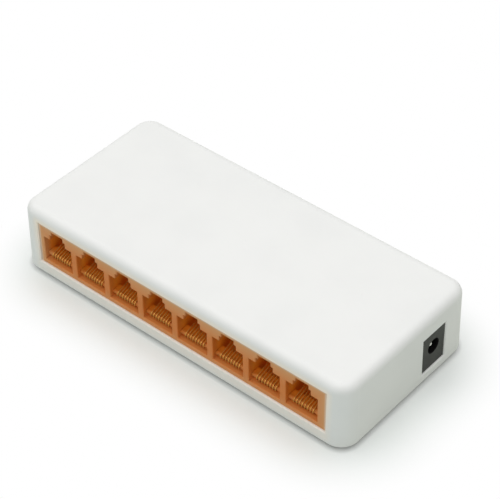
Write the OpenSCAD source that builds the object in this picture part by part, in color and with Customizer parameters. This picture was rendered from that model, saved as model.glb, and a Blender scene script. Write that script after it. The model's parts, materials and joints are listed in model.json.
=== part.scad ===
// Eight-port desktop network switch: a two-piece moulded case, a ganged socket block
// with sprung contact wires, a barrel power inlet and the circuit board that joins them.
// Origin: middle of the footprint on the table. +X along the port row, +Y to the back, +Z up.

/* [Case] */
// Width of the case along the port row
body_w = 130; // [128:0.5:156]
// Depth of the case from the port face to the back
body_d = 60; // [58:0.5:72]
// Height from the table to the top of the case
body_h = 25; // [24.5:0.25:30]
// Radius of the four upright corners
corner_r = 6; // [5:0.25:7.5]
// Radius rolled around the top edge
edge_r = 3; // [2.5:0.25:3.5]
// Inward lean of the outer walls, in degrees
draft = 1; // [0.5:0.25:2]
// Thickness of the case walls
wall = 2; // [1.8:0.1:2.4]
// Chamfer that breaks the lower rim and the window edges
edge_break = 0.3; // [0.2:0.05:0.5]

/* [Socket block] */
// Distance between neighbouring sockets
port_pitch = 13.97; // [13.4:0.01:14.1]
// Offset of the row of sockets from the middle of the case
port_shift = -0.5; // [-0.7:0.1:0.6]
// Width of the end wall outside the first socket
port_end_left = 1.8; // [1.6:0.1:2.4]
// Width of the end wall outside the last socket, beside the inlet
port_end_right = 3.2; // [2:0.1:3.4]
// Height of the socket block above the board
port_h = 14.5; // [14.2:0.1:15]
// Drop of the block's front apron below the board's top face
apron_h = 0.9; // [0.6:0.1:1]
// Depth of the socket block from front to back
port_d = 16.5; // [15.5:0.1:18]
// Width of a socket's mouth
mouth_w = 11.7; // [11.6:0.05:12]
// Height of a socket's full-width mouth
mouth_h = 9.3; // [9:0.1:9.8]
// Width of the latch keyway above the mouth
latch_w = 6.5; // [6.2:0.1:7]
// Height of the keyway's wide lower step
latch_step_h = 1.9; // [1.8:0.1:2.2]
// Width of the narrow top of the keyway
latch_top_w = 4.8; // [3.8:0.1:5]
// Height of the latch keyway above the mouth
latch_h = 3.4; // [3:0.1:3.6]
// Chamfer around the front edges of a socket
mouth_break = 0.2; // [0.1:0.05:0.3]

/* [Contact wires] */
// Radius of a contact wire
wire_r = 0.18; // [0.15:0.01:0.2]
// Distance between neighbouring contact wires
wire_pitch = 1.02; // [1:0.01:1.1]
// Angle at which the free wires rise to the back, in degrees
wire_rise = 20; // [18:1:24]
// Length of the straight part of a free wire
wire_reach = 8.3; // [7.8:0.1:8.6]
// Radius of the bend that turns each wire back into the socket
bend_r = 1; // [0.9:0.05:1.05]
// Depth of the wires' bends behind the block's face
wire_front = 1; // [0.8:0.1:2]

/* [Power inlet] */
// Distance of the inlet behind the middle of the case
jack_y = 12.6; // [10:0.1:12.7]
// Height of the inlet's axis above the table
jack_z = 11.9; // [11.6:0.1:12.4]
// Width of the inlet's face
jack_w = 10.8; // [10:0.1:11]
// Height of the inlet's face
jack_h = 13.5; // [13:0.1:13.7]
// Radius of the plug bore
bore_r = 2.45; // [2.35:0.05:2.7]
// Radius of the centre pin
pin_r = 0.8; // [0.75:0.05:0.95]
// Depth of the plug bore behind the face
bore_depth = 11; // [10:0.1:11.5]

/* [Base and feet] */
// Thickness of the base plate
base_t = 1.8; // [1.6:0.1:1.9]
// Gap between the table and the case rim
foot_drop = 1.1; // [0.8:0.1:1.2]
// Radius of a rubber foot
foot_r = 4; // [3.5:0.25:5]
// Distance between the two wall-hanging keyholes
keyhole_spacing = 80; // [70:1:84]
// Radius of a keyhole's round entry
keyhole_r = 3.75; // [3.5:0.05:3.9]
// Width of a keyhole's slot
keyhole_slot_w = 4; // [3.6:0.1:4.4]

/* [Circuit board] */
// Thickness of the circuit board
board_t = 1.6; // [1.5:0.1:1.7]
// Height of the board's top face above the table
board_z = 6; // [5.9:0.05:6.2]
// Radius of a board screw's thread
screw_r = 1.1; // [1:0.05:1.2]

/* [Hidden] */
$fn = 48;
ports = 8;
wires = 8;
fit_gap = 0.15;       // play between case parts that slide together
touch = 0.05;         // play between parts that only rest against each other
snug = 0.02;          // play around a wire or pin held by its hole
eps = 0.5;            // how far a cutter runs past the face that it opens
lean = tan(draft);

// Case
shell_h = body_h - foot_drop;
half_w = body_w / 2;
half_d = body_d / 2;
ceiling_z = body_h - wall;
base_z = foot_drop + 0.3;
base_top = base_z + base_t;
base_corner_r = corner_r - wall - fit_gap;
base_w = body_w - 2 * (wall + fit_gap);
base_d = body_d - 2 * (wall + fit_gap);
board_bottom = board_z - board_t;
rim_t = 1;            // thickness of the base plate's upstand
rim_inset = 0.2;      // distance of the upstand from the plate's edge
boss_floor = 0.6;     // floor left under a screw's hole

// Socket block
block_w = (ports - 1) * port_pitch + mouth_w + port_end_left + port_end_right;
block_x = port_shift + (port_end_right - port_end_left) / 2;
block_recess = 0.75;  // depth of the block's face behind the case's front
block_front = -half_d + block_recess;
block_back = block_front + port_d;
block_top = board_z + port_h;
mouth_floor = 0.5;    // thickness of the floor of a socket
mouth_z = board_z + mouth_floor;
mouth_top = mouth_z + mouth_h;
latch_wall = 2;       // depth of the narrow keyway that the latch catches behind
back_wall = 1.2;
latch_pocket_d = 9.5; // depth of the pocket that the latch springs into
tail_room = 0.9;      // space around the solder tails in the block's floor
sink_w = 5.2;         // moulding sinks in the block's top, one between each two sockets
sink_h = 2.4;
sink_front = 4;       // distance of a sink from the block's face
sink_back = 2;
peg_r = 1.5;
peg_l = 0.9;          // length of a peg below the board
peg_y = block_front + 8;
window_w = block_w + 2 * fit_gap;
window_z = board_z - apron_h - fit_gap / 2;
window_h = port_h + apron_h + fit_gap;

// Contact wires, in the plane across a socket
carrier_w = mouth_w - 0.2;
groove_z = mouth_z + 0.52;
wire_z = groove_z + wire_r;
bend_y = block_front + wire_front + bend_r;
bend_z = wire_z + bend_r;
pivot_angle = 90 + wire_rise;
pivot_y = bend_y + bend_r * cos(pivot_angle);
pivot_z = bend_z + bend_r * sin(pivot_angle);
tip_r = 1.6;
tail_bend_r = 0.6;
tail_low = board_bottom - 1;
tail_y = block_back - 1.3;
tail_row_gap = 2.54;
comb_d = 2.9;
comb_over = 1.4;      // height of the comb above the wires' knees
comb_front = pivot_y + wire_reach * cos(wire_rise) - 0.3;
comb_back = comb_front + comb_d;
comb_top = pivot_z + wire_reach * sin(wire_rise) + comb_over;
comb_slot_w = 2 * wire_r + 0.2;
comb_slot_z = groove_z + 0.9;
carrier_floor_t = 0.3; // floor of the carrier above the bottom of the grooves
nose_gap = 0.08;      // play between the nose and the inside of the bends
nose_d = 2.4;         // depth of the nose behind the middle of the bends

// Power inlet
jack_recess = 0.55;   // depth of the inlet's face behind the side of the case
jack_face = half_w - jack_recess;
jack_flange_t = 2.2;
jack_body_side = 0.5; // step from the flange's sides in to the body
lead_in = 0.2;        // chamfer at the mouth of the bore
jack_end_t = 2.5;     // thickness of the wall behind the bore
jack_back = jack_face - bore_depth - jack_end_t;
jack_bore_back = jack_face - bore_depth;
jack_body_r = jack_w / 2 - jack_body_side;
jack_face_z = 4.1;    // height of the face's lower edge
leaf_t = 0.3;
leaf_w = 2.2;
leaf_slot_w = leaf_w + 0.5;
leaf_x = jack_back + 2;
leaf_z = board_z + 2.6;
leaf_crest_x = leaf_x + 5.5;
leaf_crest_z = jack_z - bore_r + 0.35;
leaf_end_x = leaf_crest_x + 1.5;
tab_t = 0.6;
tab_w = 2.4;

// Circuit board
board_w = body_w - 2 * wall - 1.6;
board_front = -half_d + wall + 0.5;
board_back = jack_y + 5.5;
board_corner_r = corner_r - wall - 0.4;
notch_w = 10;         // the notches let the heads of the wall screws slide
notch_d = 7.4;
notch_x = keyhole_spacing / 2 - notch_w / 2;
keyhole_y = half_d - wall - 5.4;
keyhole_slot = 5;
foot_x = half_w - 11;
foot_y = half_d - 9;
foot_sink = 0.8;      // depth of a foot's recess in the base plate
screw_x = half_w - 7;
screw_y = board_back - 4;
screw_points = [[-screw_x, block_back + 4], [screw_x, block_back + 4],
                [-screw_x, screw_y], [notch_x - 3.4, screw_y]];
boss_r = 2.6;

function port_x(p) = port_shift + (p - (ports + 1) / 2) * port_pitch;
function wire_x(i) = (i - (wires + 1) / 2) * wire_pitch;
function tail_row_y(i) = tail_y - (i % 2) * tail_row_gap;

// Middle of each pair of sockets, where a peg and a transformer module stand.
pair_x = [for (p = [1:2:ports - 1]) port_x(p) + port_pitch / 2];

// ---------------------------------------------------------------- shared shapes

// Turns a drawing in (y, z) upright across the case, with its thickness along X.
module across() {
    rotate([90, 0, 90]) children();
}

// Turns a drawing in (x, z) upright along the case, with its thickness towards -Y.
module along() {
    rotate([90, 0, 0]) children();
}

// Quarter of a disc, from the centre to +X and +Y.
module quarter_disc(r) {
    intersection() {
        circle(r);
        square(r);
    }
}

// Rectangle with true round corners.
module round_rect(w, d, r) {
    square([w - 2 * r, d], center = true);
    for (s = [-1, 1])
        translate([s * (w - r) / 2, 0])
            square([r, d - 2 * r], center = true);
    for (sx = [0, 1], sy = [0, 1])
        mirror([sx, 0])
            mirror([0, sy])
                translate([w / 2 - r, d / 2 - r])
                    quarter_disc(r);
}

// Section of a case wall from its corner axis outwards: a leaning side and a rolled top.
module wall_section(reach, h, roll, low, foot) {
    centre_x = reach - (h - roll) * lean - roll / cos(draft);
    touch_x = centre_x + roll * cos(draft);
    touch_z = h - roll + roll * sin(draft);
    polygon([[0, low], [reach - low * lean - foot, low], [reach - (low + foot) * lean, low + foot],
             [touch_x, touch_z], [centre_x, h - roll], [centre_x, h], [0, h]]);
    translate([centre_x, h - roll])
        quarter_disc(roll);
}

// Solid case block with round upright corners, leaning walls and a rolled top edge.
module case_block(w, d, h, r, roll, low, foot) {
    core_w = w - 2 * r;
    core_d = d - 2 * r;
    translate([-core_w / 2, -core_d / 2, low])
        cube([core_w, core_d, h - low]);
    for (s = [0, 1])
        mirror([s, 0, 0])
            translate([core_w / 2, core_d / 2, 0])
                along()
                    linear_extrude(core_d)
                        wall_section(r, h, roll, low, foot);
    for (s = [0, 1])
        mirror([0, s, 0])
            translate([-core_w / 2, core_d / 2, 0])
                across()
                    linear_extrude(core_w)
                        wall_section(r, h, roll, low, foot);
    for (sx = [0, 1], sy = [0, 1])
        mirror([sx, 0, 0])
            mirror([0, sy, 0])
                translate([core_w / 2, core_d / 2, 0])
                    rotate_extrude(angle = 90)
                        wall_section(r, h, roll, low, foot);
}

// Straight round wire between two points of a drawing.
module rod(p, q, r) {
    run = q - p;
    translate([p[0], p[1], 0])
        rotate([0, 0, atan2(run[1], run[0])])
            rotate([0, 90, 0])
                cylinder(r = r, h = norm(run));
}

// Bent round wire in a drawing, around a centre, from angle a to angle b.
module bend(centre, radius, r, a, b) {
    translate([centre[0], centre[1], 0])
        rotate([0, 0, a])
            rotate_extrude(angle = b - a)
                translate([radius, 0])
                    circle(r);
}

// Thin strip of a drawing along a line of points, with mitred bends.
function unit(v) = v / norm(v);
function left_of(p, q) = let (u = unit(q - p)) [-u[1], u[0]];
function mitre(a, b) = (a + b) / (1 + a * b);
function strip_side(line, i) =
    let (before = left_of(line[max(i - 1, 0)], line[max(i, 1)]),
         after = left_of(line[min(i, len(line) - 2)], line[min(i + 1, len(line) - 1)]))
    mitre(before, after);

module strip(line, t) {
    last = len(line) - 1;
    polygon(concat([for (i = [0:last]) line[i] + t / 2 * strip_side(line, i)],
                   [for (i = [last:-1:0]) line[i] - t / 2 * strip_side(line, i)]));
}

// Flare that chamfers all four edges of a window whose outer face lies in the drawing plane.
module window_flare(w, h, c) {
    intersection() {
        along()
            linear_extrude(h + 6 * c, center = true)
                flare_section(w, c);
        across()
            linear_extrude(w + 6 * c, center = true)
                flare_section(h, c);
    }
}

// Section of a flare: as wide as the window at the depth of the chamfer, wider towards the face.
module flare_section(w, c) {
    polygon([[-w / 2 + c, -2 * c], [w / 2 - c, -2 * c],
             [w / 2 + 3 * c, 2 * c], [-w / 2 - 3 * c, 2 * c]]);
}

// ---------------------------------------------------------------- case

hook_w = 4;
hook_t = 1.2;
hook_z = 7;           // height of the hook's catching face
hook_catch = 0.6;
hook_spacing = 25;
tongue_w = 8;
tongue_spacing = 42;

// Places a snap feature on the inside of the case, facing outwards along +Y of its own frame.
module at_snaps() {
    for (k = [-1, 0, 1])
        translate([k * hook_spacing, half_d - wall, 0])
            children();
    for (s = [-1, 1])
        translate([s * (half_w - wall), half_d - corner_r - hook_w / 2 - 0.3, 0])
            rotate([0, 0, -s * 90])
                children();
}

// Places a tongue or its pocket on the inside of the front wall.
module at_tongues() {
    for (k = [-1, 0, 1])
        translate([k * tongue_spacing, -half_d + wall, 0])
            children();
}

// Upright arm with a barbed end, leaning on the case wall from inside.
module snap_hook() {
    play = fit_gap + hook_z * lean;
    translate([-hook_w / 2, 0, 0])
        across()
            linear_extrude(hook_w)
                polygon([[-play - hook_t, base_top - 0.5], [-play, base_top - 0.5], [-play, hook_z],
                         [-play + hook_catch, hook_z], [-play, hook_z + 1.5],
                         [-play - hook_t / 2, hook_z + 1.5], [-play - hook_t, hook_z + 0.9]]);
}

// Pocket in the case wall that the hook springs into.
module snap_pocket() {
    translate([-hook_w / 2 - 0.4, -1, hook_z - 0.1])
        cube([hook_w + 0.8, 1 + 0.9, 1.8]);
}

// Pocket in the front wall that a tongue of the base plate slides into.
module tongue_pocket() {
    translate([-tongue_w / 2 - 0.3, -0.9, base_z + 0.5])
        cube([tongue_w + 0.6, 1.4, 1.4]);
}

rib_t = 1.2;
rib_h = 1.2;
rib_rows = [-7, 4, 14];
post_r = 2;
post_rows = [-47, 10];
rib_end = 4;          // distance from a rib's end to the side wall

// Ribs that hold the socket block down, ribs that stiffen the top, and posts down to the board.
module ceiling_ribs() {
    hold_z = block_top + touch;
    post_z = board_z + touch;
    for (y = [block_front + wall, block_back - wall])
        translate([block_x - block_w / 2 + 1, y, hold_z])
            cube([block_w - 2, rib_t, ceiling_z + eps - hold_z]);
    for (y = rib_rows)
        translate([-half_w + wall + rib_end, y, ceiling_z - rib_h])
            cube([body_w - 2 * (wall + rib_end), rib_t, rib_h + eps]);
    for (x = post_rows)
        translate([x, board_back - post_r - 1, post_z])
            cylinder(r = post_r, h = ceiling_z + eps - post_z);
}

module port_window() {
    translate([block_x - window_w / 2, -half_d - eps, window_z])
        cube([window_w, wall + 2 * eps + 1, window_h]);
    translate([block_x, -half_d, foot_drop])
        rotate([90 - draft, 0, 0])
            translate([0, window_z + window_h / 2 - foot_drop, 0])
                window_flare(window_w, window_h, edge_break);
}

module jack_window() {
    w = jack_w + 0.2;
    h = jack_h + 0.2;
    mid_z = jack_face_z + jack_h / 2;
    translate([half_w - wall - 1, jack_y - w / 2, mid_z - h / 2])
        cube([wall + 2, w, h]);
    translate([half_w, jack_y, foot_drop])
        rotate([0, -draft, 0])
            across()
                translate([0, mid_z - foot_drop, 0])
                    window_flare(w, h, edge_break);
}

module top_cover() {
    color([0.93, 0.93, 0.92])
        difference() {
            union() {
                difference() {
                    translate([0, 0, foot_drop])
                        case_block(body_w, body_d, shell_h, corner_r, edge_r, 0, edge_break);
                    translate([0, 0, foot_drop])
                        case_block(body_w - 2 * wall, body_d - 2 * wall, shell_h - wall,
                                   corner_r - wall, edge_r - wall, -1, 0);
                }
                ceiling_ribs();
            }
            port_window();
            jack_window();
            at_snaps()
                snap_pocket();
            at_tongues()
                tongue_pocket();
        }
}

module at_feet() {
    for (sx = [-1, 1], sy = [-1, 1])
        translate([sx * foot_x, sy * foot_y, 0])
            children();
}

module keyhole() {
    translate([0, 0, base_z - eps])
        cylinder(r = keyhole_r, h = base_t + 2 * eps);
    translate([-keyhole_slot_w / 2, -keyhole_r - keyhole_slot + 1, base_z - eps])
        cube([keyhole_slot_w, keyhole_r + keyhole_slot - 1, base_t + 2 * eps]);
    translate([0, -keyhole_r - keyhole_slot + 1, base_z - eps])
        cylinder(r = keyhole_slot_w / 2, h = base_t + 2 * eps);
}

vent_w = 1.6;
vent_l = 18;
vent_pitch = 3.6;
vents = 6;            // slots in each of the two groups
vent_x = 33;          // distance of a group's middle from the middle of the plate
plate_mid_y = -2;
label_w = 35;
label_d = 27;
label_sink = 0.25;

// Two groups of slots that let cooling air in below the board.
module vent_slots() {
    for (side = [-1, 1], i = [0:vents - 1])
        translate([side * vent_x + (i - (vents - 1) / 2) * vent_pitch, plate_mid_y, base_z - eps])
            linear_extrude(base_t + 2 * eps)
                round_rect(vent_w, vent_l, vent_w / 2 - 0.01);
}

module base_plate() {
    color([0.9, 0.9, 0.89])
        difference() {
            union() {
                translate([0, 0, base_z])
                    linear_extrude(base_t)
                        round_rect(base_w, base_d, base_corner_r);
                base_rim();
                at_snaps()
                    snap_hook();
                at_tongues()
                    translate([-tongue_w / 2, -0.7, base_z + 0.6])
                        cube([tongue_w, 2, 1]);
                for (p = screw_points)
                    translate([p[0], p[1], base_top - eps])
                        cylinder(r = boss_r, h = board_bottom - base_top + eps);
            }
            for (p = screw_points)
                translate([p[0], p[1], base_z + boss_floor])
                    cylinder(r = screw_r + snug, h = board_bottom);
            at_feet()
                translate([0, 0, base_z - eps])
                    cylinder(r = foot_r + fit_gap, h = foot_sink + eps);
            for (s = [-1, 1])
                translate([s * keyhole_spacing / 2, keyhole_y, 0])
                    keyhole();
            vent_slots();
            // bare recess for a rating label
            translate([0, plate_mid_y, base_z - eps])
                linear_extrude(label_sink + eps)
                    round_rect(label_w, label_d, 1);
        }
}

// Low upstand that stiffens the plate and carries the board along its front and sides.
module base_rim() {
    rim_hollow = rim_inset + rim_t;
    difference() {
        translate([0, 0, base_top - eps])
            linear_extrude(board_bottom - base_top + eps)
                round_rect(base_w - 2 * rim_inset, base_d - 2 * rim_inset, base_corner_r - rim_inset);
        translate([0, 0, base_top - 2 * eps])
            linear_extrude(board_bottom)
                round_rect(base_w - 2 * rim_hollow, base_d - 2 * rim_hollow, base_corner_r - rim_hollow);
        translate([-half_w, half_d - wall - 4, base_top])
            cube([body_w, 4, board_bottom]);
        // gap for the lower edge of the inlet's flange
        translate([jack_face - jack_flange_t - 1, jack_y - jack_w / 2 - 0.3, base_top])
            cube([4, jack_w + 0.6, board_bottom]);
    }
}

module rubber_feet() {
    color([0.16, 0.16, 0.17])
        at_feet() {
            cylinder(r1 = foot_r - 0.4, r2 = foot_r, h = 0.4);
            translate([0, 0, 0.4])
                cylinder(r = foot_r, h = base_z + foot_sink - 0.4);
        }
}

// ---------------------------------------------------------------- circuit board

module board_outline() {
    difference() {
        translate([0, (board_front + board_back) / 2])
            round_rect(board_w, board_back - board_front, board_corner_r);
        for (s = [-1, 1])
            translate([s * keyhole_spacing / 2 - notch_w / 2, board_back - notch_d])
                square([notch_w, notch_d + eps]);
        translate([jack_face - jack_flange_t - 0.3, jack_y - jack_w / 2 - 0.4])
            square([10, jack_w + 0.8]);
    }
}

module circuit_board() {
    color([0.1, 0.35, 0.2])
        difference() {
            translate([0, 0, board_bottom])
                linear_extrude(board_t)
                    board_outline();
            translate([0, 0, board_bottom - eps]) {
                for (p = [1:ports], i = [1:wires])
                    translate([port_x(p) + wire_x(i), tail_row_y(i), 0])
                        cylinder(r = wire_r + 0.12, h = board_t + 2 * eps);
                for (x = pair_x)
                    translate([x, peg_y, 0])
                        cylinder(r = peg_r + 0.1, h = board_t + 2 * eps);
                for (p = screw_points)
                    translate([p[0], p[1], 0])
                        cylinder(r = screw_r + 0.25, h = board_t + 2 * eps);
                translate([jack_back - tab_t - 0.2, jack_y - tab_w / 2 - 0.2, 0])
                    cube([tab_t + 0.4, tab_w + 0.4, board_t + 2 * eps]);
                translate([leaf_x - 1.2, jack_y - leaf_w / 2 - 0.2, 0])
                    cube([leaf_t + 0.4, leaf_w + 0.4, board_t + 2 * eps]);
            }
        }
}

module board_screws() {
    head_r = 2.1;
    color([0.75, 0.76, 0.78])
        for (p = screw_points)
            translate([p[0], p[1], 0])
                difference() {
                    union() {
                        translate([0, 0, base_z + 1])
                            cylinder(r = screw_r, h = board_z - base_z - 1 + 0.2);
                        translate([0, 0, board_z])
                            cylinder(r = head_r, h = 0.7);
                        translate([0, 0, board_z + 0.7])
                            cylinder(r1 = head_r, r2 = head_r - 0.6, h = 0.6);
                    }
                    for (a = [0, 90])
                        translate([0, 0, board_z + 1])
                            rotate([0, 0, a])
                                cube([2.6, 0.6, 1], center = true);
                }
}

// ---------------------------------------------------------------- sockets

// Front outline of a socket: full-width mouth, latch keyway and the keyway's narrow top.
module mouth_outline() {
    translate([-mouth_w / 2, mouth_z])
        square([mouth_w, mouth_h]);
    translate([-latch_w / 2, mouth_top - eps])
        square([latch_w, latch_step_h + eps]);
    translate([-latch_top_w / 2, mouth_top])
        square([latch_top_w, latch_h]);
}

// Chamfers around the mouth and both steps of the keyway.
module mouth_chamfer() {
    for (size = [[mouth_w, mouth_h], [latch_w, mouth_h + latch_step_h], [latch_top_w, mouth_h + latch_h]])
        translate([0, block_front, mouth_z + size[1] / 2])
            rotate([90, 0, 0])
                window_flare(size[0], size[1], mouth_break);
}

module socket_cutter() {
    mouth_chamfer();
    // mouth, cut from the front through the front wall
    translate([0, block_front + latch_wall, 0])
        along()
            linear_extrude(latch_wall + eps)
                mouth_outline();
    // room for the plug, closed at the back by a thin wall
    translate([-mouth_w / 2, block_front + latch_wall - eps, mouth_z])
        cube([mouth_w, port_d - latch_wall + eps - back_wall, mouth_h]);
    // doorway in the back wall where the contact carrier slides in
    translate([-mouth_w / 2, block_back - back_wall - eps, mouth_z])
        cube([mouth_w, back_wall + 2 * eps, comb_top + 0.1 - mouth_z]);
    // wider pocket that the latch springs into behind the front wall
    translate([-latch_w / 2, block_front + latch_wall - eps, mouth_top - eps])
        cube([latch_w, latch_pocket_d, latch_h + eps]);
    // opening in the floor for the solder tails
    translate([wire_x(1) - wire_r - tail_room, tail_y - tail_row_gap - tail_room, board_z - eps])
        cube([wire_x(wires) - wire_x(1) + 2 * (wire_r + tail_room), port_d, mouth_floor + 2 * eps]);
}

module port_housing() {
    color([0.86, 0.52, 0.32])
        difference() {
            union() {
                translate([block_x - block_w / 2, block_front, board_z])
                    cube([block_w, port_d, port_h]);
                // apron in front of the board's edge
                translate([block_x - block_w / 2, block_front, board_z - apron_h])
                    cube([block_w, board_front - fit_gap - block_front, apron_h + eps]);
                for (x = pair_x)
                    translate([x, peg_y, board_bottom - peg_l])
                        cylinder(r = peg_r, h = board_t + peg_l + eps);
            }
            for (p = [1:ports])
                translate([port_x(p), 0, 0])
                    socket_cutter();
            // sinks in the top between the sockets keep the wall thickness even
            for (p = [1:ports - 1])
                translate([port_x(p) + (port_pitch - sink_w) / 2, 0, block_top - sink_h])
                    translate([0, block_front + sink_front, 0])
                        cube([sink_w, port_d - sink_front - sink_back, sink_h + eps]);
        }
}

// Insulator that slides in from the back: a floor with a groove for each fixed wire, a nose
// inside the bends and a comb that guides the free wires.
module contact_carrier() {
    floor_front = bend_y + 0.1;
    floor_top = groove_z + carrier_floor_t;
    nose_r = bend_r - wire_r - nose_gap;
    difference() {
        union() {
            translate([-carrier_w / 2, floor_front, mouth_z])
                cube([carrier_w, block_back - 0.2 - floor_front, floor_top - mouth_z]);
            translate([-carrier_w / 2, bend_y, bend_z])
                rotate([0, 90, 0])
                    cylinder(r = nose_r, h = carrier_w);
            translate([-carrier_w / 2, bend_y, floor_top - 0.1])
                cube([carrier_w, nose_d, bend_z + nose_r - floor_top + 0.1]);
            translate([-carrier_w / 2, comb_front, floor_top - 0.1])
                cube([carrier_w, comb_back - comb_front, comb_top - floor_top + 0.1]);
        }
        // grooves and tunnels for the fixed wires, cut from the front of the floor to its back
        for (i = [1:wires])
            translate([wire_x(i) - wire_r - snug, floor_front - eps, groove_z])
                cube([2 * (wire_r + snug), port_d, 2 * wire_r + snug]);
        // each free wire rides in its own slot of the comb
        for (i = [1:wires])
            translate([wire_x(i) - comb_slot_w / 2, comb_front - 1, comb_slot_z])
                cube([comb_slot_w, comb_back - comb_front + 0.2, comb_top]);
        for (i = [1:wires])
            translate([wire_x(i), tail_row_y(i), mouth_z - eps])
                cylinder(r = wire_r + snug, h = 2);
        for (i = [1:wires])
            translate([wire_x(i) - wire_r - snug, tail_row_y(i) - tail_bend_r, mouth_z - eps])
                cube([2 * (wire_r + snug), tail_bend_r, 1.2]);
    }
}

module contact_carriers() {
    color([0.8, 0.46, 0.28])
        for (p = [1:ports])
            translate([port_x(p), 0, 0])
                contact_carrier();
}

// Fixed stretch of a wire: solder tail, run along the groove and the bend at the front.
module fixed_wire(i) {
    y = tail_row_y(i);
    across() {
        rod([y, tail_low], [y, wire_z - tail_bend_r], wire_r);
        bend([y - tail_bend_r, wire_z - tail_bend_r], tail_bend_r, wire_r, 0, 90);
        rod([y - tail_bend_r, wire_z], [bend_y, wire_z], wire_r);
        bend([bend_y, bend_z], bend_r, wire_r, pivot_angle, 270);
    }
}

module contact_tails() {
    color([0.83, 0.68, 0.35])
        for (p = [1:ports], i = [1:wires])
            translate([port_x(p) + wire_x(i), 0, 0])
                fixed_wire(i);
}

// Free stretch of a wire, from just past the bend to the level tip in the comb.
module free_wire() {
    gap = 0.06;
    start = [pivot_y + gap * cos(wire_rise), pivot_z + gap * sin(wire_rise)];
    knee = [pivot_y + wire_reach * cos(wire_rise), pivot_z + wire_reach * sin(wire_rise)];
    centre = [knee[0] + tip_r * sin(wire_rise), knee[1] - tip_r * cos(wire_rise)];
    across() {
        rod(start, knee, wire_r);
        // the coined tip is a hair thinner and starts inside the straight part
        bend(centre, tip_r, wire_r - 0.01, 90 - 10, 90 + wire_rise + 4);
    }
}

module contact_springs(p) {
    color([0.88, 0.72, 0.38])
        for (i = [1:wires])
            translate([port_x(p) + wire_x(i), 0, 0])
                free_wire();
}

// ---------------------------------------------------------------- power inlet

module power_jack_housing() {
    body_low = jack_z - board_z;
    color([0.16, 0.16, 0.15])
        difference() {
            union() {
                translate([jack_face - jack_flange_t, jack_y - jack_w / 2, jack_face_z])
                    cube([jack_flange_t, jack_w, jack_h]);
                translate([jack_back, jack_y, jack_z])
                    rotate([0, 90, 0])
                        cylinder(r = jack_body_r, h = jack_face - jack_back - 1);
                translate([jack_back, jack_y - jack_body_r, board_z])
                    cube([jack_face - jack_back - 1, 2 * jack_body_r, body_low]);
            }
            translate([jack_bore_back, jack_y, jack_z])
                rotate([0, 90, 0])
                    cylinder(r = bore_r, h = bore_depth + eps);
            // lead-in of the bore
            translate([jack_face - lead_in, jack_y, jack_z])
                rotate([0, 90, 0])
                    cylinder(r1 = bore_r, r2 = bore_r + 2 * lead_in, h = 2 * lead_in);
            // hole for the rear of the centre pin
            translate([jack_back - eps, jack_y, jack_z])
                rotate([0, 90, 0])
                    cylinder(r = 0.7 * pin_r + snug, h = 4);
            // slot for the leaf spring, open to the bore and to the board
            translate([leaf_x - 1.2, jack_y - leaf_slot_w / 2, board_z - eps])
                cube([leaf_end_x + 0.8 - leaf_x + 1.2, leaf_slot_w, jack_z - board_z]);
        }
}

module power_jack_pin() {
    tip = 0.45 * pin_r;
    front = jack_face - 1.2;
    color([0.85, 0.84, 0.8])
        translate([0, jack_y, jack_z])
            rotate([0, 90, 0]) {
                translate([0, 0, jack_bore_back])
                    cylinder(r = pin_r, h = front - tip - jack_bore_back);
                translate([0, 0, front - tip])
                    cylinder(r1 = pin_r, r2 = pin_r - tip, h = tip);
                translate([0, 0, jack_back - tab_t])
                    cylinder(r = 0.7 * pin_r, h = jack_bore_back - jack_back + tab_t + 0.2);
                translate([0, 0, jack_back - tab_t - 0.4])
                    cylinder(r = 1.3 * pin_r, h = 0.4);
            }
}

module power_jack_spring() {
    crest = [leaf_crest_x, leaf_crest_z];
    line = [[leaf_x, leaf_z], crest - [0.8, 0.12], crest + [0.4, 0], [leaf_end_x, leaf_crest_z - 0.8]];
    color([0.85, 0.75, 0.45])
        translate([0, jack_y + leaf_w / 2, 0])
            along()
                linear_extrude(leaf_w)
                    strip(line, leaf_t);
}

module power_jack_terminals() {
    color([0.8, 0.8, 0.78]) {
        // rear terminal, riveted to the centre pin
        difference() {
            translate([jack_back - tab_t, jack_y - tab_w / 2, tail_low])
                cube([tab_t, tab_w, jack_z + 2 - tail_low]);
            translate([jack_back - tab_t - eps, jack_y, jack_z])
                rotate([0, 90, 0])
                    cylinder(r = 0.7 * pin_r + snug, h = tab_t + 2 * eps);
        }
        // leaf terminal, whose top lip meets the root of the leaf spring
        translate([leaf_x - 1, jack_y - leaf_w / 2, tail_low])
            cube([leaf_t, leaf_w, leaf_z + leaf_t / 2 - tail_low]);
        translate([leaf_x - 1, jack_y - leaf_w / 2, leaf_z - leaf_t / 2])
            cube([1 - 0.06, leaf_w, leaf_t]);
    }
}

// ---------------------------------------------------------------- parts on the board

chip_x = -8;
chip_y = 7.2;
chip_w = 12;
chip_t = 1.4;
chip_leads_a_side = 14;
chip_lead_pitch = 0.8;

// Row of gull-wing leads, with feet on the board and shoulders meeting the body.
module gull_leads(count, pitch, lead_w, reach, rise, t) {
    for (i = [0:count - 1])
        translate([(i - (count - 1) / 2) * pitch - lead_w / 2, 0, board_z])
            across()
                linear_extrude(lead_w)
                    polygon([[0, rise], [0, rise - t], [0.3 * reach, rise - t],
                             [0.45 * reach, 0], [reach, 0], [reach, t],
                             [0.45 * reach + t, t], [0.3 * reach + t, rise]]);
}

module switch_chip() {
    color([0.12, 0.12, 0.13])
        difference() {
            translate([chip_x - chip_w / 2, chip_y - chip_w / 2, board_z + 0.1])
                cube([chip_w, chip_w, chip_t]);
            translate([chip_x - chip_w / 2 + 1.4, chip_y - chip_w / 2 + 1.4, board_z + chip_t])
                cylinder(r = 0.5, h = 1);
        }
}

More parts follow.
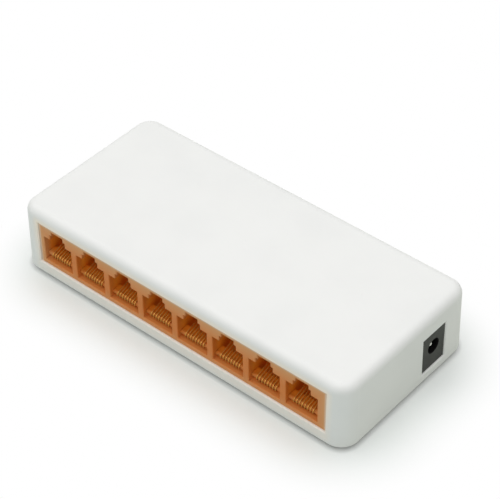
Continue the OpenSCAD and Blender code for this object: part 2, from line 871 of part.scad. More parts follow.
module chip_leads() {
    color([0.78, 0.79, 0.8])
        for (a = [0:90:270])
            translate([chip_x, chip_y, 0])
                rotate([0, 0, a])
                    translate([0, chip_w / 2, 0])
                        gull_leads(chip_leads_a_side, chip_lead_pitch, 0.35, 1.2, 0.8, 0.15);
}

module_w = 14;
module_d = 7;
module_h = 4.2;
module_y = block_back + 6.4;
module_lead_reach = 1.3;
resistor_y = module_y + module_d / 2 + module_lead_reach + 0.4;
resistor_l = 2;
supply_y = resistor_y + resistor_l + 0.4;   // front edge of the power supply's parts
can_r = 3.15;

module at_modules() {
    for (x = pair_x)
        translate([x, module_y, 0])
            children();
}

module transformer_modules() {
    color([0.1, 0.1, 0.1])
        at_modules()
            translate([-module_w / 2, -module_d / 2, board_z + 0.2])
                cube([module_w, module_d, module_h]);
}

module transformer_leads() {
    color([0.78, 0.79, 0.8])
        at_modules()
            for (a = [0, 180])
                rotate([0, 0, a])
                    translate([0, module_d / 2, 0])
                        gull_leads(10, 1.27, 0.5, module_lead_reach, 1.4, 0.2);
}

module crystal_can() {
    length = 11.4;
    width = 4.6;
    color([0.8, 0.8, 0.8])
        translate([chip_x - 19, chip_y + 2, board_z]) {
            linear_extrude(0.6)
                round_rect(length, width, width / 2 - 0.01);
            linear_extrude(3.6)
                round_rect(length - 0.8, width - 0.8, width / 2 - 0.41);
        }
}

module filter_capacitors() {
    color([0.7, 0.71, 0.74])
        for (p = [[notch_x + 7, supply_y + can_r + 0.15], [notch_x - 10.7, supply_y + 10]])
            translate([p[0], p[1], board_z]) {
                translate([0, 0, 0.6])
                    cube([2 * can_r + 0.3, 2 * can_r + 0.3, 1.2], center = true);
                translate([0, 0, 1])
                    cylinder(r = can_r, h = 6.4);
            }
}

module power_inductor() {
    color([0.25, 0.25, 0.26])
        translate([notch_x - 19, supply_y + 6.5, board_z]) {
            difference() {
                linear_extrude(3)
                    round_rect(7, 7, 1.2);
                translate([0, 0, 2.6])
                    cylinder(r = 2.6, h = 1);
            }
        }
}

module voltage_regulator() {
    color([0.12, 0.12, 0.13])
        translate([notch_x - 5, supply_y + 3.4, board_z]) {
            translate([-3.2, -1.8, 0])
                cube([6.4, 3.6, 1.7]);
            translate([-1.6, 1.8, 0])
                cube([3.2, 1.6, 0.3]);
            for (x = [-2.3, 0, 2.3])
                translate([x - 0.35, -3.4, 0])
                    cube([0.7, 1.6, 0.3]);
        }
}

module rectifier_diode() {
    color([0.14, 0.14, 0.15])
        translate([jack_back - 0.5, jack_y - jack_w / 2 - 2.2, board_z]) {
            translate([-2.2, -1.4, 0])
                cube([4.4, 2.8, 2.2]);
            translate([-2.6, -0.8, 0])
                cube([5.2, 1.6, 0.4]);
        }
}

module chip_resistors() {
    color([0.2, 0.2, 0.22])
        for (p = [1:ports], s = [-1, 1])
            translate([port_x(p) + s * 1.6 - 0.5, resistor_y, board_z])
                if (abs(port_x(p) - chip_x) > chip_w / 2 + 5)
                    cube([1, resistor_l, 0.6]);
}

top_cover();
base_plate();
rubber_feet();
circuit_board();
board_screws();
port_housing();
contact_carriers();
contact_tails();
contact_springs(1);  // contact_springs_1
contact_springs(2);  // contact_springs_2
contact_springs(3);  // contact_springs_3
contact_springs(4);  // contact_springs_4
contact_springs(5);  // contact_springs_5
contact_springs(6);  // contact_springs_6
contact_springs(7);  // contact_springs_7
contact_springs(8);  // contact_springs_8
power_jack_housing();
power_jack_pin();
power_jack_spring();
power_jack_terminals();
switch_chip();
chip_leads();
transformer_modules();
transformer_leads();
crystal_can();
filter_capacitors();
power_inductor();
voltage_regulator();
rectifier_diode();
chip_resistors();
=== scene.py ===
"""Finishes, light and camera for a small desktop network switch.

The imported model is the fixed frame. This script dresses its pieces, adds the domed
tip of the inlet's pin, and sets a plain pale studio around it. Lengths are in metres, +X runs
along the row of sockets, +Y to the back and +Z up.
"""

import json
import logging
import math
from dataclasses import dataclass
from enum import Enum
from typing import Any

import bmesh
import bpy
from mathutils import Matrix, Vector


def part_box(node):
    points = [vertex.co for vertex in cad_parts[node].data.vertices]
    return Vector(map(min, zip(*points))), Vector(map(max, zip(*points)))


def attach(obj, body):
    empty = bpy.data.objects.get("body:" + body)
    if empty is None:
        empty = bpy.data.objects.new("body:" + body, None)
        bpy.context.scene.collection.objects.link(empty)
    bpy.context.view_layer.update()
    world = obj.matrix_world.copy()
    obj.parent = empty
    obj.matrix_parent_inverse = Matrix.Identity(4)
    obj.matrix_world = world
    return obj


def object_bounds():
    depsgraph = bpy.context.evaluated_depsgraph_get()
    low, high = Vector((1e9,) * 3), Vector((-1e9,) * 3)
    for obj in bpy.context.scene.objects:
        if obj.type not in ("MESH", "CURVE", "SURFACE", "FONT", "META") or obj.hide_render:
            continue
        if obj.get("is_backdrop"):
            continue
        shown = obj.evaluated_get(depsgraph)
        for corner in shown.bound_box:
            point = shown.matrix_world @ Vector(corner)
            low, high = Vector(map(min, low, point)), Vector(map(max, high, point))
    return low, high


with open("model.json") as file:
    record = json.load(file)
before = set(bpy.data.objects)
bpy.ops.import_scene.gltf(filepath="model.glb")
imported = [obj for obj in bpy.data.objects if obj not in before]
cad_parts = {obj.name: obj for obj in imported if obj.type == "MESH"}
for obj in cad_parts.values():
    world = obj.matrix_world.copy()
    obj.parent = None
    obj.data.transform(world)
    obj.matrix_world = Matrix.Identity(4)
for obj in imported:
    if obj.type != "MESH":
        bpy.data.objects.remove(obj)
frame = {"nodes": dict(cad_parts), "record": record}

LOG = logging.getLogger("network_switch")
MM = 0.001
Colour = tuple[float, float, float]
Span = tuple[float, float]


class Axis(Enum):
    """A direction along one of the frame's axes."""

    X = 0
    Y = 1
    Z = 2


# ---------------------------------------------------------------- shader maths


class Term:
    """A number socket that adds a Math node for each operator used on it."""

    def __init__(self, graph: "Graph", socket: bpy.types.NodeSocket) -> None:
        """Wrap a socket.

        Args:
            graph: The graph that the socket belongs to.
            socket: An output that carries one number.
        """
        self.graph = graph
        self.socket = socket

    def apply(self, operation: str, *others: "Term | float") -> "Term":
        """Run a Math node on this term.

        Args:
            operation: The Math node's operation.
            others: The other operands, as terms or numbers.

        Returns:
            The node's result.
        """
        return self.graph.math(operation, self, *others)

    def __add__(self, other: "Term | float") -> "Term":
        """Sum."""
        return self.apply("ADD", other)

    def __sub__(self, other: "Term | float") -> "Term":
        """Difference."""
        return self.apply("SUBTRACT", other)

    def __rsub__(self, other: float) -> "Term":
        """Difference from a number."""
        return self.graph.math("SUBTRACT", other, self)

    def __mul__(self, other: "Term | float") -> "Term":
        """Product."""
        return self.apply("MULTIPLY", other)

    __radd__ = __add__
    __rmul__ = __mul__


class Graph:
    """The node tree of one material or world."""

    def __init__(self, tree: bpy.types.NodeTree) -> None:
        """Empty a node tree.

        Args:
            tree: The tree to write in.
        """
        self.tree = tree
        tree.nodes.clear()

    def node(self, kind: str, settings: dict[str, Any] | None = None,
             sockets: dict[Any, Any] | None = None) -> bpy.types.Node:
        """Add a node.

        Args:
            kind: The node's type.
            settings: Properties of the node, set before its sockets.
            sockets: Inputs by name or index, as values, sockets or terms.

        Returns:
            The new node.
        """
        node = self.tree.nodes.new(kind)
        for key, value in (settings or {}).items():
            setattr(node, key, value)
        for key, value in (sockets or {}).items():
            self._feed(node.inputs[key], value)
        return node

    def _feed(self, target: bpy.types.NodeSocket, value: Any) -> None:
        """Link a socket or term to an input, or set the input's value.

        Args:
            target: The input.
            value: A term, a socket, a colour or a number.
        """
        if isinstance(value, Term):
            value = value.socket
        if isinstance(value, bpy.types.NodeSocket):
            self.tree.links.new(value, target)
        elif isinstance(value, tuple) and len(value) == 3 and target.type == "RGBA":
            target.default_value = (*value, 1.0)
        else:
            target.default_value = value

    def math(self, operation: str, *operands: "Term | float") -> Term:
        """Add a Math node.

        Args:
            operation: The node's operation.
            operands: Terms or numbers, in the node's order.

        Returns:
            The node's result.
        """
        node = self.node("ShaderNodeMath", {"operation": operation}, dict(enumerate(operands)))
        return Term(self, node.outputs[0])

    def place(self) -> bpy.types.NodeSocket:
        """The point's place in the frame, in metres."""
        return self.node("ShaderNodeTexCoord").outputs["Object"]

    def parts(self) -> tuple[Term, Term, Term]:
        """The point's x, y and z in the frame, as terms."""
        split = self.node("ShaderNodeSeparateXYZ", sockets={0: self.place()})
        return tuple(Term(self, output) for output in split.outputs)

    def noise(self, size: float, detail: float = 2.0, stretch: Colour = (1.0, 1.0, 1.0)) -> Term:
        """Smooth noise between 0 and 1.

        Args:
            size: The width of a typical blotch, in metres.
            detail: How many finer layers are added.
            stretch: How much the pattern is packed along each axis.

        Returns:
            The noise's value.
        """
        mapped = self.node("ShaderNodeMapping", sockets={"Vector": self.place(), "Scale": stretch})
        noise = self.node("ShaderNodeTexNoise", sockets={
            "Vector": mapped.outputs[0], "Scale": 1.0 / size, "Detail": detail})
        return Term(self, noise.outputs["Fac"])

    def cells(self, size: float) -> Term:
        """Distance to the nearest of many scattered points, from 0 to about 1.

        Args:
            size: The usual distance between two points, in metres.

        Returns:
            The distance.
        """
        cells = self.node("ShaderNodeTexVoronoi", sockets={
            "Vector": self.place(), "Scale": 1.0 / size})
        return Term(self, cells.outputs["Distance"])

    def blend(self, factor: Term, low: Any, high: Any) -> bpy.types.NodeSocket:
        """Mix two colours.

        Args:
            factor: 0 for low, 1 for high.
            low: The first colour or colour socket.
            high: The second colour or colour socket.

        Returns:
            The mixed colour.
        """
        mix = self.node("ShaderNodeMix", {"data_type": "RGBA", "clamp_factor": True},
                        {0: factor, 6: low, 7: high})
        return mix.outputs[2]

    def step(self, value: Term, low: float, high: float) -> Term:
        """A smooth step from 0 at low to 1 at high.

        Args:
            value: The number that is tested.
            low: Where the step starts.
            high: Where the step ends.

        Returns:
            The step's value.
        """
        node = self.node("ShaderNodeMapRange", {"interpolation_type": "SMOOTHSTEP"},
                         {0: value, 1: low, 2: high})
        return Term(self, node.outputs[0])

    def outside(self, low: Vector, high: Vector, axes: tuple["Axis", ...]) -> Term:
        """Distance to a box along some of the axes, 0 inside it.

        Args:
            low: The box's lowest corner.
            high: Its highest corner.
            axes: The axes that count.

        Returns:
            The distance, in metres.
        """
        parts = self.parts()
        total: Term | float = 0.0
        for axis in axes:
            i = axis.value
            past = self.math("MAXIMUM", low[i] - parts[i], parts[i] - high[i])
            beyond = self.math("MAXIMUM", past, 0.0)
            total = beyond * beyond + total
        return total.apply("SQRT")

    def bump(self, height: Term, depth: float) -> bpy.types.NodeSocket:
        """A normal disturbed by a height.

        Args:
            height: The height, from 0 to 1.
            depth: The height's full reach, in metres.

        Returns:
            The normal.
        """
        return self.node("ShaderNodeBump", sockets={
            "Strength": 1.0, "Distance": depth, "Height": height}).outputs[0]

    def shader(self, **sockets: Any) -> bpy.types.NodeSocket:
        """Add a plain shader.

        Args:
            sockets: The shader's inputs, with underscores for spaces.

        Returns:
            The shader's output.
        """
        named = {key.replace("_", " "): value for key, value in sockets.items()}
        return self.node("ShaderNodeBsdfPrincipled", sockets=named).outputs[0]

    def output(self, shader: bpy.types.NodeSocket) -> None:
        """Finish a material with a shader."""
        self.node("ShaderNodeOutputMaterial", sockets={"Surface": shader})

    def shade(self, **sockets: Any) -> None:
        """Finish a material with one plain shader.

        Args:
            sockets: The shader's inputs, with underscores for spaces.
        """
        self.output(self.shader(**sockets))


def new_material(name: str) -> tuple[bpy.types.Material, Graph]:
    """Make an empty node material.

    Args:
        name: The material's name.

    Returns:
        The material and its graph.
    """
    material = bpy.data.materials.new(name)
    material.use_nodes = True
    return material, Graph(material.node_tree)


def add_object(name: str, mesh: bmesh.types.BMesh,
               material: bpy.types.Material) -> bpy.types.Object:
    """Turn a finished mesh into an object of the scene.

    Args:
        name: The object's name.
        mesh: Its shape, which is freed.
        material: Its finish.

    Returns:
        The object.
    """
    data = bpy.data.meshes.new(name)
    mesh.to_mesh(data)
    mesh.free()
    piece = bpy.data.objects.new(name, data)
    bpy.context.scene.collection.objects.link(piece)
    data.materials.append(material)
    return piece


# ---------------------------------------------------------------- finishes


@dataclass(frozen=True)
class MouldedPlastic:
    """Plastic from a spark-eroded mould: fine grain, faint flow clouds and stray dust specks."""

    name: str
    colour: Colour
    shade: Colour
    roughness: float
    grain: float = 0.22 * MM
    relief: float = 0.006 * MM
    clouds: float = 18 * MM
    coat: float = 0.0
    rub: float = 6 * MM
    speck_gap: float = 2.6 * MM

    def add_painted_light(self, graph: Graph, base: bpy.types.NodeSocket) -> bpy.types.NodeSocket:
        """Add painted light in one place; plain plastic has none."""
        return base

    def finish(self, graph: Graph, shader: bpy.types.NodeSocket) -> bpy.types.NodeSocket:
        """Mix in another shader in one place, such as painted shade; plain plastic has none."""
        return shader

    def build(self) -> bpy.types.Material:
        """Build the material.

        Returns:
            The material.
        """
        material, graph = new_material(self.name)
        clouds = graph.noise(self.clouds, 3.0)
        grain = graph.noise(self.grain, 3.0)
        rub = graph.noise(self.rub, 4.0, (1.0, 1.0, 2.5))
        base = graph.blend(graph.step(clouds, 0.3, 0.75), self.colour, self.shade)
        specks = 1.0 - graph.step(graph.cells(self.speck_gap), 0.03, 0.06)
        base = graph.blend(specks * 0.25, base, tuple(0.6 * c for c in self.colour))
        # Painted light, where a subclass adds it.
        base = self.add_painted_light(graph, base)
        rough = self.roughness - 0.05 + 0.06 * rub + 0.05 * grain
        shader = graph.shader(Base_Color=base, Roughness=rough, IOR=1.49, Coat_Weight=self.coat,
                              Normal=graph.bump(grain, self.relief))
        graph.output(self.finish(graph, shader))
        return material


@dataclass(frozen=True)
class CoverPlastic(MouldedPlastic):
    """White plastic with painted light along the edge of the sockets' window: a warm, lighter band
    for the orange block's bounce light and the lit window edge, strongest at the top.
    """

    # Colour of the painted bounce light and edge highlight around the window.
    glow: Colour = (1.0, 0.9, 0.78)
    beside: Span = (0.1 * MM, 3.0 * MM)
    behind: Span = (1.0 * MM, 3.0 * MM)

    def add_painted_light(self, graph: Graph, base: bpy.types.NodeSocket) -> bpy.types.NodeSocket:
        """Paint warm light around the rim of the sockets' window: a lighter orange-tinted band for
        the block's bounce light and a highlight along the edge.

        Args:
            graph: The material's graph.
            base: The colour without the painted light.

        Returns:
            The colour with it.
        """
        low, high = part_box("port_housing")
        _, y, z = graph.parts()
        rim = graph.outside(low, high, (Axis.X, Axis.Z))
        front = 1.0 - graph.step(y - low.y, *self.behind)
        near = 1.0 - graph.step(rim, *self.beside)
        # The painted light is stronger towards the top of the window, as if lit from above.
        upper = 0.45 + 0.55 * graph.step(z, low.z, high.z)
        return graph.blend(near * front * upper, base, self.glow)


@dataclass(frozen=True)
class BorePlastic(MouldedPlastic):
    """Black plastic with painted shade: dead black and matt in the plug's bore and a little past
    its lead-in.
    """

    # Colour of the painted shade in the bore.
    bore: Colour = (0.004, 0.004, 0.004)
    # Radius over which the painted shade fades out, just past the lead-in.
    edge: Span = (2.62 * MM, 2.76 * MM)

    def finish(self, graph: Graph, shader: bpy.types.NodeSocket) -> bpy.types.NodeSocket:
        """Paint shade into the bore.

        Args:
            graph: The material's graph.
            shader: The finish of the face.

        Returns:
            The finish with the painted shade in the bore.
        """
        low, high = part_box("power_jack_pin")
        middle = (low + high) / 2
        _, y, z = graph.parts()
        across, up = y - middle.y, z - middle.z
        radius = (across * across + up * up).apply("SQRT")
        # Painted shade: a dead black matt shader mixed in over the bore and its lead-in.
        inside = 1.0 - graph.step(radius, *self.edge)
        matt = graph.shader(Base_Color=self.bore, Roughness=0.9, Specular_IOR_Level=0.1)
        return graph.node("ShaderNodeMixShader", sockets={
            0: inside, 1: shader, 2: matt}).outputs[0]


@dataclass(frozen=True)
class ContactGold:
    """Gold plating on sprung wire, with painted light: a paler tone at the bends near the socket's
    mouth, a deeper orange further in, where it is also rougher and oily.
    """

    name: str
    # Paler tone painted at the bends near the mouth, where light falls; it turns into dull further
    # in.
    painted_lit_gold: Colour = (0.6, 0.31, 0.075)
    dull: Colour = (0.66, 0.32, 0.06)
    fade: Span = (0.9 * MM, 3.0 * MM)
    patch: float = 1.4 * MM
    line_width: float = 0.08 * MM

    def build(self) -> bpy.types.Material:
        """Build the material.

        Returns:
            The material.
        """
        material, graph = new_material(self.name)
        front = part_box("contact_tails")[0].y
        inward = graph.step(graph.parts()[1] - front, *self.fade)
        lines = graph.noise(self.line_width, 3.0, (1.0, 0.04, 1.0))
        patches = graph.step(graph.noise(self.patch, 3.0), 0.45, 0.75)
        # Painted light: the colour turns from the paler lit tone at the bends to the deeper tone
        # with depth into the socket.
        base = graph.blend(inward, self.painted_lit_gold, self.dull)
        base = graph.blend(patches * 0.3, base, self.dull)
        rough = 0.34 + 0.12 * inward + 0.1 * patches + 0.08 * lines
        graph.shade(Base_Color=base, Metallic=1.0, Roughness=rough,
                    Normal=graph.bump(lines, 0.002 * MM))
        return material


@dataclass(frozen=True)
class PlatedMetal:
    """Plated or drawn metal with fine lines along one axis and patches of dulling."""

    name: str
    colour: Colour
    dull: Colour
    roughness: float
    lines: Axis = Axis.X
    line_width: float = 0.02 * MM
    patch: float = 1.4 * MM

    def build(self) -> bpy.types.Material:
        """Build the material.

        Returns:
            The material.
        """
        material, graph = new_material(self.name)
        stretch = tuple(0.04 if axis is self.lines else 1.0 for axis in Axis)
        streaks = graph.noise(self.line_width * 4, 3.0, stretch)
        patches = graph.step(graph.noise(self.patch, 3.0), 0.45, 0.75)
        base = graph.blend(patches, self.colour, self.dull)
        rough = self.roughness + 0.12 * patches + 0.1 * streaks
        graph.shade(Base_Color=base, Metallic=1.0, Roughness=rough,
                    Normal=graph.bump(streaks, 0.002 * MM))
        return material


@dataclass(frozen=True)
class SocketPlastic:
    """Orange socket moulding: satin, a little cloudy, glossier deep inside, with painted light: a
    lighter orange deep in the cavity, where shade falls.
    """

    name: str
    colour: Colour
    # Painted light: a lighter orange deep in the cavities, where they lie in shade.
    deep: Colour
    low: Vector
    high: Vector
    depth: float
    # Painted light: a paler pink near the window's edges (bloom), and a painted highlight right
    # along them (rim).
    bloom: Colour = (0.7, 0.34, 0.13)
    rim: Colour = (0.78, 0.58, 0.43)
    sill: float = 1.0 * MM
    front: float = 0.9 * MM
    painted_light_reach: Span = (-1.0 * MM, 7.2 * MM)
    painted_highlight_reach: Span = (0.1 * MM, 0.9 * MM)

    def build(self) -> bpy.types.Material:
        """Build the material.

        Returns:
            The material.
        """
        material, graph = new_material(self.name)
        x, y, z = graph.parts()
        inward = graph.step(y - self.low.y, self.front, self.depth)
        clouds = graph.noise(3.5 * MM, 3.0)
        flow = graph.noise(2.0 * MM, 4.0, (0.3, 1.0, 1.0))
        face = graph.blend(clouds * 0.5, self.colour, tuple(0.9 * c for c in self.colour))
        side = graph.math("MINIMUM", x - self.low.x, self.high.x - x)
        edge = graph.math("MINIMUM", side, self.high.z - z)
        edge = graph.math("MINIMUM", edge, z - self.low.z + self.sill)
        # Painted light near the window's edges, then a painted highlight along them.
        face = graph.blend(1.0 - graph.step(edge, *self.painted_light_reach), face, self.bloom)
        face = graph.blend(1.0 - graph.step(edge, *self.painted_highlight_reach), face, self.rim)
        # Painted light: blend to the lighter deep colour with depth into the cavity.
        base = graph.blend(inward, face, self.deep)
        grain = graph.noise(0.15 * MM, 2.0)
        rough = 0.42 + 0.1 * flow - 0.08 * inward
        graph.shade(Base_Color=base, Roughness=rough, IOR=1.45,
                    Normal=graph.bump(grain, 0.004 * MM))
        return material


@dataclass(frozen=True)
class FootRubber:
    """Soft matt rubber with a dusty bloom."""

    name: str

    def build(self) -> bpy.types.Material:
        """Build the material.

        Returns:
            The material.
        """
        material, graph = new_material(self.name)
        bloom = graph.step(graph.noise(1.2 * MM, 4.0), 0.45, 0.8)
        grain = graph.noise(0.12 * MM, 3.0)
        base = graph.blend(bloom * 0.6, (0.025, 0.025, 0.027), (0.07, 0.068, 0.065))
        graph.shade(Base_Color=base, Roughness=0.75 + 0.15 * bloom, IOR=1.52,
                    Normal=graph.bump(grain, 0.01 * MM))
        return material


@dataclass(frozen=True)
class SolderMask:
    """Green solder mask over copper tracks on a glass-fibre board."""

    name: str
    track: float = 0.3 * MM
    pitch: float = 0.9 * MM
    fibre: float = 0.25 * MM

    def build(self) -> bpy.types.Material:
        """Build the material.

        Returns:
            The material.
        """
        material, graph = new_material(self.name)
        x, y, _ = graph.parts()
        wander = graph.noise(9 * MM, 0.0) * (4.0 * MM)
        lane = graph.math("PINGPONG", x + wander, self.pitch)
        tracks = 1.0 - graph.step(lane, self.track * 0.8, self.track)
        gate = graph.step(graph.noise(7 * MM, 1.0), 0.5, 0.53)
        copper = tracks * gate
        weave = graph.math("PINGPONG", x, self.fibre) + graph.math("PINGPONG", y, self.fibre)
        base = graph.blend(copper, (0.012, 0.085, 0.03), (0.03, 0.17, 0.06))
        graph.shade(Base_Color=base, Roughness=0.28 + 0.1 * graph.noise(2 * MM, 3.0), IOR=1.5,
                    Normal=graph.bump(copper + weave * (0.2 / MM), 0.02 * MM))
        return material


# ---------------------------------------------------------------- studio


@dataclass
class Camera:
    """A long lens looking down on the socket row and the inlet side."""

    azimuth: float = 40.876
    elevation: float = 41.652
    roll: float = -0.763
    distance: float = 553.387 * MM
    slide: float = 3.318 * MM
    rise: float = 6.646 * MM
    target_height: float = 12.87 * MM
    lens: float = 129.6
    sensor: float = 36.0

    def axes(self) -> Matrix:
        """Work out where the camera points.

        Returns:
            Its right, up and back directions, as the columns of a matrix.
        """
        azimuth = math.radians(self.azimuth)
        elevation = math.radians(self.elevation)
        back = Vector((math.sin(azimuth) * math.cos(elevation),
                       -math.cos(azimuth) * math.cos(elevation), math.sin(elevation)))
        right = Vector((math.cos(azimuth), math.sin(azimuth), 0.0))
        up = back.cross(right)
        turn = math.radians(self.roll)
        rolled_right = math.cos(turn) * right + math.sin(turn) * up
        rolled_up = math.cos(turn) * up - math.sin(turn) * right
        return Matrix((rolled_right, rolled_up, back)).transposed()

    def build(self) -> None:
        """Add the camera and make it the scene's."""
        axes = self.axes()
        place = axes @ Vector((self.slide, self.rise, self.distance))
        place.z += self.target_height
        data = bpy.data.cameras.new("camera")
        data.sensor_width = self.sensor
        data.lens = self.lens
        data.clip_start = 0.01
        data.clip_end = 20.0
        camera = bpy.data.objects.new("camera", data)
        camera.matrix_world = Matrix.Translation(place) @ axes.to_4x4()
        bpy.context.scene.collection.objects.link(camera)
        bpy.context.scene.camera = camera


@dataclass
class Studio:
    """Plain pale floor with a painted contact shadow at the case's foot, an even surround and one
    wide soft light from the front left.
    """

    floor_size: float = 6.0
    floor_colour: Colour = (0.87, 0.9, 0.885)
    # Colour of the painted contact shadow along the case's foot, seen only by the lens.
    painted_contact_shadow: Colour = (0.67, 0.69, 0.68)
    bounce_colour: Colour = (0.74, 0.78, 0.71)
    front_bounce: Colour = (0.74, 0.81, 0.78)
    # White painted into the floor's shadow near and under the case, for the lens only.
    painted_shadow_lift: float = 0.1
    fade_end: float = 21 * MM
    painted_shadow_corner: float = 6 * MM
    painted_shadow_fade: Span = (0.1 * MM, 1.4 * MM)
    front_reach: float = 2 * MM
    shadow_corner: float = 18 * MM
    shadow_shift: Span = (2 * MM, -2 * MM)
    surround: float = 0.3
    surround_colour: Colour = (0.985, 1.0, 0.955)
    key_power: float = 12.8
    key_size: float = 1.7
    key_place: tuple[float, float, float] = (-0.06, -0.06, 1.0)

    def build(self) -> None:
        """Build floor, surround and light, and set plain colour handling."""
        bpy.context.scene.view_settings.view_transform = "Standard"
        self._floor()
        self._world()
        self._lamp("key", Vector(self.key_place), self.key_size, self.key_power)

    def _floor(self) -> None:
        """Lay the floor under the feet, fading to white a little way from the case."""
        material = self._floor_material()
        mesh = bmesh.new()
        bmesh.ops.create_grid(mesh, x_segments=1, y_segments=1, size=self.floor_size / 2)
        floor = add_object("floor", mesh, material)
        floor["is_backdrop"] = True

    def _floor_material(self) -> bpy.types.Material:
        """Matt paper that takes the shadow and is white to the lens away from the case, with a
        painted contact shadow along the case's foot and some white painted into the shadow near
        the case.

        Returns:
            The material.
        """
        material, graph = new_material("pale_floor")
        low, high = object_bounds()
        inset = Vector((self.shadow_corner, self.shadow_corner, 0.0))
        shift = Vector((*self.shadow_shift, 0.0))
        foot = Vector((self.painted_shadow_corner, self.painted_shadow_corner, 0.0))
        away = graph.outside(low + foot, high - foot, (Axis.X, Axis.Y)) - self.painted_shadow_corner
        round_away = graph.outside(low + inset + shift, high - inset + shift, (Axis.X, Axis.Y))
        fade = graph.step(round_away - self.shadow_corner, 0.0, self.fade_end)
        lens = Term(graph, graph.node("ShaderNodeLightPath").outputs["Is Camera Ray"])
        # Painted contact shadow: the floor seen by the lens is darkened within a little of the
        # case's foot.
        clear = graph.step(away, *self.painted_shadow_fade)
        seen = graph.blend(clear, self.painted_contact_shadow, self.floor_colour)
        _, y, _ = graph.parts()
        before = graph.step(low.y - y, 0.0, self.front_reach)
        bounce = graph.blend(before, self.bounce_colour, self.front_bounce)
        paper = graph.node("ShaderNodeBsdfDiffuse", sockets={
            "Color": graph.blend(lens, bounce, seen)})
        white = graph.node("ShaderNodeEmission", sockets={"Color": (1.0, 1.0, 1.0)})
        # Some white is mixed into the floor for the lens even beside the case, painting light into
        # its shadow and the gap under the case.
        glow = (self.painted_shadow_lift + (1.0 - self.painted_shadow_lift) * fade) * lens
        mix = graph.node("ShaderNodeMixShader", sockets={
            0: glow, 1: paper.outputs[0], 2: white.outputs[0]})
        graph.output(mix.outputs[0])
        return material

    def _world(self) -> None:
        """An even surround that looks white to the lens and in reflections."""
        world = bpy.data.worlds.new("surround")
        world.use_nodes = True
        graph = Graph(world.node_tree)
        path = graph.node("ShaderNodeLightPath")
        straight = graph.math("MAXIMUM", Term(graph, path.outputs["Is Camera Ray"]),
                              Term(graph, path.outputs["Is Transmission Ray"]))
        seen = graph.math("MAXIMUM", straight, Term(graph, path.outputs["Is Glossy Ray"]))
        colour = graph.blend(seen, self.surround_colour, (1.0, 1.0, 1.0))
        strength = self.surround + (1.0 - self.surround) * seen
        background = graph.node("ShaderNodeBackground", sockets={
            "Color": colour, "Strength": strength})
        graph.node("ShaderNodeOutputWorld", sockets={"Surface": background.outputs[0]})
        bpy.context.scene.world = world

    def _lamp(self, name: str, place: Vector, size: float, power: float) -> None:
        """Add a square soft light aimed at the object.

        Args:
            name: The light's name.
            place: Where it hangs.
            size: Its side.
            power: Its power in watts.
        """
        data = bpy.data.lights.new(name, "AREA")
        data.shape = "SQUARE"
        data.size = size
        data.energy = power
        lamp = bpy.data.objects.new(name, data)
        lamp.location = place
        lamp.rotation_euler = place.to_track_quat("Z", "Y").to_euler()
        bpy.context.scene.collection.objects.link(lamp)


# ---------------------------------------------------------------- the object


def dress(node: str, material: bpy.types.Material) -> None:
    """Give a carried-over piece its finish.

    Args:
        node: The piece's name.
        material: Its finish.
    """
    piece = frame["nodes"][node]
    piece.data.materials.clear()
    piece.data.materials.append(material)
    LOG.info("dressed %s in %s", node, material.name)


CASE_WHITE = CoverPlastic("case_white", (0.87, 0.87, 0.862), (0.845, 0.846, 0.84), 0.46)
BASE_WHITE = MouldedPlastic("base_white", (0.84, 0.84, 0.83), (0.81, 0.81, 0.8), 0.55,
                            grain=0.3 * MM, relief=0.01 * MM)
INLET_BLACK = BorePlastic("inlet_black", (0.0145, 0.0155, 0.0135), (0.0105, 0.0115, 0.0095), 0.5,
                          grain=0.3 * MM, relief=0.02 * MM, clouds=2.5 * MM)
CHIP_BLACK = MouldedPlastic("chip_black", (0.022, 0.022, 0.024), (0.018, 0.018, 0.02), 0.5,
                            grain=0.08 * MM, relief=0.008 * MM)
FERRITE = MouldedPlastic("ferrite_grey", (0.05, 0.05, 0.055), (0.035, 0.035, 0.04), 0.7,
                         grain=0.15 * MM, relief=0.02 * MM)
GOLD = ContactGold("contact_gold")
NICKEL = PlatedMetal("pin_nickel", (0.95, 0.94, 0.92), (0.86, 0.85, 0.82), 0.22, Axis.X)
TIN = PlatedMetal("tinned_metal", (0.72, 0.72, 0.71), (0.55, 0.55, 0.54), 0.34, Axis.Z)
STEEL = PlatedMetal("bright_steel", (0.66, 0.67, 0.68), (0.5, 0.51, 0.52), 0.3, Axis.Y)
ALUMINIUM = PlatedMetal("can_aluminium", (0.72, 0.73, 0.75), (0.6, 0.61, 0.63), 0.3, Axis.Z)


@dataclass
class Case:
    """The top cover, the base plate and the feet."""

    def build(self) -> None:
        """Dress the case."""
        dress("top_cover", CASE_WHITE.build())
        dress("base_plate", BASE_WHITE.build())
        dress("rubber_feet", FootRubber("foot_rubber").build())


@dataclass
class SocketBlock:
    """The ganged sockets with their carriers and wires."""

    sockets: int = 8

    def build(self) -> None:
        """Dress the sockets."""
        low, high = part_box("port_housing")
        # The deep colours are lighter than the face colours: painted light inside the cavities.
        orange = SocketPlastic("socket_orange", (0.71, 0.21, 0.028), (0.95, 0.36, 0.03),
                               low, high, 3.5 * MM)
        deep = SocketPlastic("carrier_orange", (0.6, 0.17, 0.015), (0.95, 0.36, 0.03),
                             low, high, 4 * MM)
        dress("port_housing", orange.build())
        dress("contact_carriers", deep.build())
        gold = GOLD.build()
        dress("contact_tails", gold)
        for socket in range(1, self.sockets + 1):
            dress(f"contact_springs_{socket}", gold)


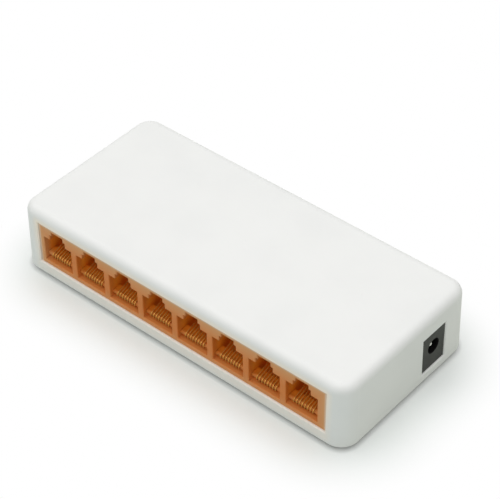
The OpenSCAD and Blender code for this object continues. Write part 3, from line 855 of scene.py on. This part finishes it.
@dataclass
class PowerInlet:
    """The barrel inlet in the side of the case."""

    tip_reach: float = 0.38 * MM
    tip_skirt: float = 0.6 * MM
    tip_shoulder: float = 0.1 * MM
    dome_steps: int = 9
    turns: int = 40
    weld: float = 0.0005 * MM

    def build(self) -> None:
        """Dress the inlet and round the pin's tip."""
        dress("power_jack_housing", INLET_BLACK.build())
        nickel = NICKEL.build()
        dress("power_jack_pin", nickel)
        dress("power_jack_spring", bpy.data.materials["contact_gold"])
        dress("power_jack_terminals", TIN.build())
        self._tip(nickel)

    def _tip(self, material: bpy.types.Material) -> None:
        """Turn the domed tip that closes the pin's tapered end.

        Args:
            material: The pin's plating.
        """
        low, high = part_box("power_jack_pin")
        centre = (low + high) / 2
        mount = next(m for m in frame["record"]["mounts"] if m["name"] == "inlet_pin")
        radius = mount["dims"]["r_mm"] * MM
        shoulder = high.x - self.tip_shoulder
        reach = self.tip_shoulder + self.tip_reach
        outline = [(high.x - self.tip_skirt, 0.0), (high.x - self.tip_skirt, radius)]
        for i in range(self.dome_steps + 1):
            turn = math.pi / 2 * i / self.dome_steps
            outline.append((shoulder + reach * math.sin(turn), radius * math.cos(turn)))
        mesh = bmesh.new()
        points = [mesh.verts.new((x, centre.y, centre.z + out)) for x, out in outline]
        edges = [mesh.edges.new(pair) for pair in zip(points, points[1:])]
        bmesh.ops.spin(mesh, geom=points + edges, cent=centre, axis=(1.0, 0.0, 0.0),
                       angle=2 * math.pi, steps=self.turns, use_merge=True)
        bmesh.ops.remove_doubles(mesh, verts=mesh.verts, dist=self.weld)
        bmesh.ops.recalc_face_normals(mesh, faces=mesh.faces)
        for face in mesh.faces:
            face.smooth = True
        tip = add_object("inlet_pin_tip", mesh, material)
        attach(tip, "switch")
        LOG.info("turned %s", tip.name)


@dataclass
class Board:
    """The circuit board and what is soldered and screwed to it."""

    def build(self) -> None:
        """Dress the board."""
        dress("circuit_board", SolderMask("board_green").build())
        tin = bpy.data.materials["tinned_metal"]
        black = CHIP_BLACK.build()
        steel = STEEL.build()
        for node in ("chip_leads", "transformer_leads"):
            dress(node, tin)
        for node in ("switch_chip", "transformer_modules", "voltage_regulator",
                     "rectifier_diode", "chip_resistors"):
            dress(node, black)
        for node in ("board_screws", "crystal_can"):
            dress(node, steel)
        dress("filter_capacitors", ALUMINIUM.build())
        dress("power_inductor", FERRITE.build())


def main() -> None:
    """Build the camera, the studio and the object's parts in order."""
    logging.basicConfig(level=logging.INFO, format="%(name)s: %(message)s")
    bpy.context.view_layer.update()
    for part in (Camera(), Studio(), Case(), SocketBlock(), PowerInlet(), Board()):
        part.build()
        LOG.info("built %s", type(part).__name__)


if __name__ == "__main__":
    main()
